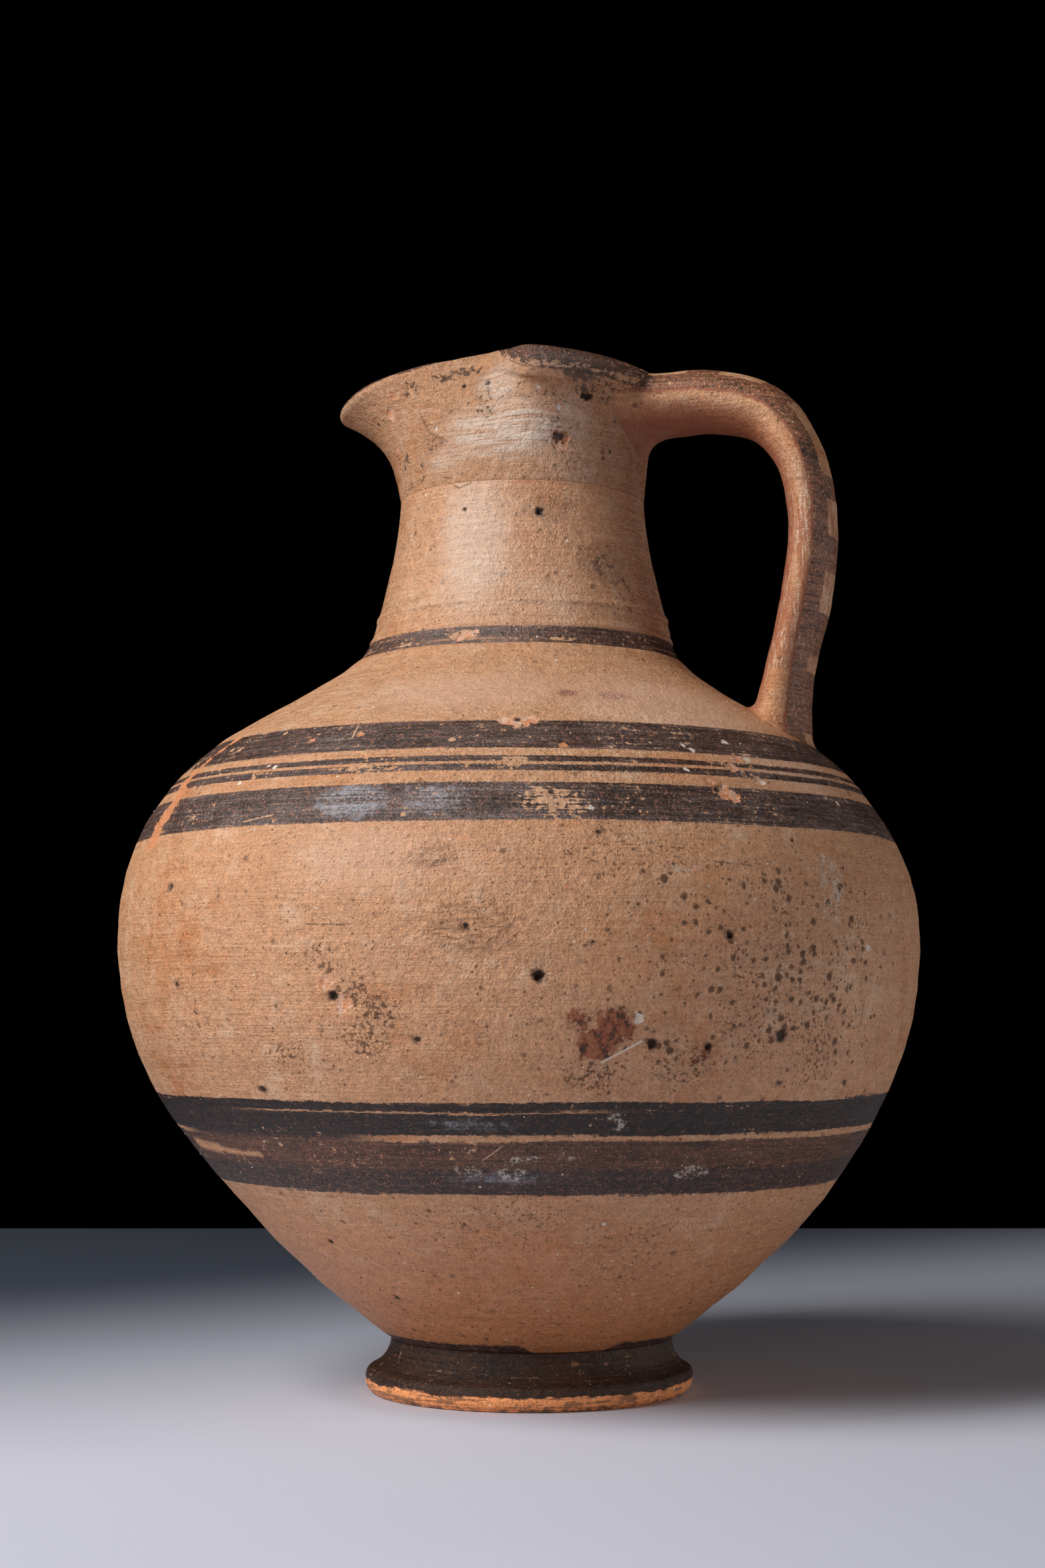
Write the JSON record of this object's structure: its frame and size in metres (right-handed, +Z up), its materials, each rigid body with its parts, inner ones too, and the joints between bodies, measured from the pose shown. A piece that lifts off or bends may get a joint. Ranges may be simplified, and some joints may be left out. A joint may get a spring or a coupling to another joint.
{
  "type": "oinochoe",
  "caption": "Thrown clay wine jug: ring foot, full round belly, tapering neck, pinched three-lobed mouth and a strap handle from rim to shoulder, with dark painted bands.",
  "frame": {"origin": "on the resting plane, under the centre of the belly", "axes": "+Z up the jug's turning axis, +X towards the handle, -X towards the spout"},
  "size_m": [0.2114, 0.2114, 0.2715],
  "materials": {
    "foot_clay": "fired clay with worn dark slip",
    "body_clay": "smoothed fired clay with dark slip bands",
    "neck_clay": "smoothed fired clay with one dark slip band",
    "mouth_clay": "smoothed fired clay with a dark slip lip",
    "handle_clay": "smoothed fired clay with dark slip stripes"
  },
  "bodies": {
    "root": {"foot": "foot_clay", "body": "body_clay", "neck": "neck_clay", "mouth": "mouth_clay", "handle": "handle_clay"}
  },
  "joints": []
}
